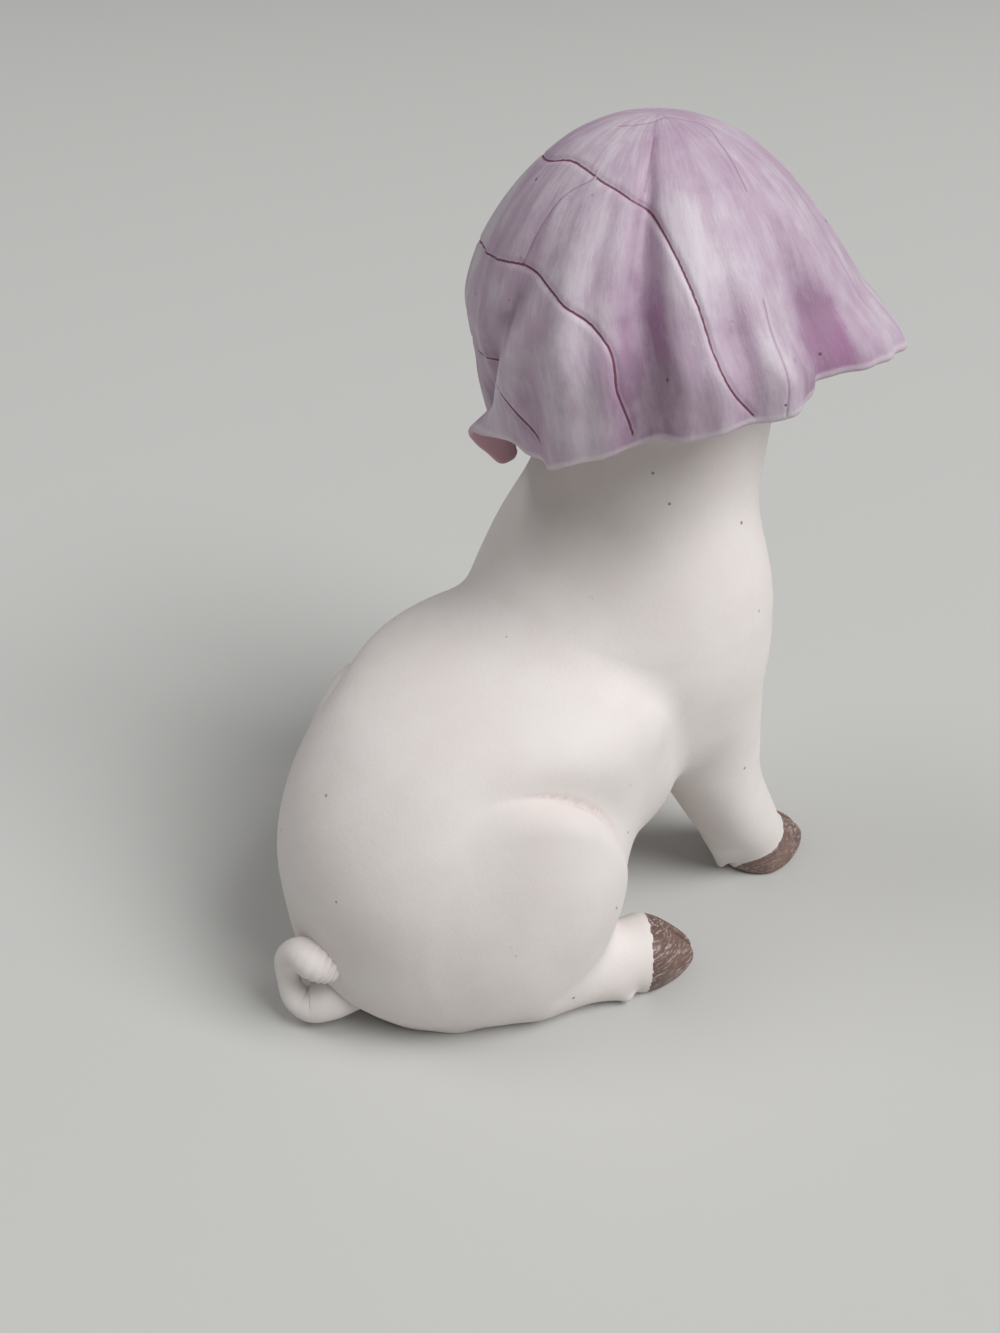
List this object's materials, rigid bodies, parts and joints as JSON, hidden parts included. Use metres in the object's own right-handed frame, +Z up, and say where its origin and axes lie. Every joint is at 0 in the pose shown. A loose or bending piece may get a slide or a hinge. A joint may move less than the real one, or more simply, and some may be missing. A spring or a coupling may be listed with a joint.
{
  "type": "pig figurine",
  "caption": "Sitting piglet ornament in painted cold-cast resin, with brown hooves, a curled tail and a lilac veined leaf draped over its head as a hat.",
  "frame": {"origin": "on the floor, on the base plate's underside, below the front of the belly", "axes": "+Z up; the pig faces -Y and its left side is +X"},
  "size_m": [0.1201, 0.2038, 0.2454],
  "materials": {
    "body_paint": "matte pinkish-white paint on cold-cast resin",
    "hat_paint": "lilac washes dry-brushed over pale resin",
    "hoof_paint": "brown paint, dry-brushed pale",
    "eye_gloss": "gloss black",
    "raw_casting": "bare cast resin",
    "plug_rubber": "matt rubber",
    "dowel_wood": "plain beech dowel"
  },
  "bodies": {
    "root": {"base_plate": "raw_casting", "base_plug": "plug_rubber", "foreleg_pins": "dowel_wood", "hat": "hat_paint", "hat_pin": "dowel_wood", "head": "body_paint", "hind_foot_pins": "dowel_wood", "left_ear": "body_paint", "left_eye": "eye_gloss", "left_fore_hoof": "hoof_paint", "left_foreleg": "body_paint", "left_hind_foot": "body_paint", "left_hind_hoof": "hoof_paint", "neck_dowel": "dowel_wood", "right_ear": "body_paint", "right_eye": "eye_gloss", "right_fore_hoof": "hoof_paint", "right_foreleg": "body_paint", "right_hind_foot": "body_paint", "right_hind_hoof": "hoof_paint", "tail": "body_paint", "tail_pin": "dowel_wood", "torso_shell": "body_paint"}
  },
  "joints": []
}
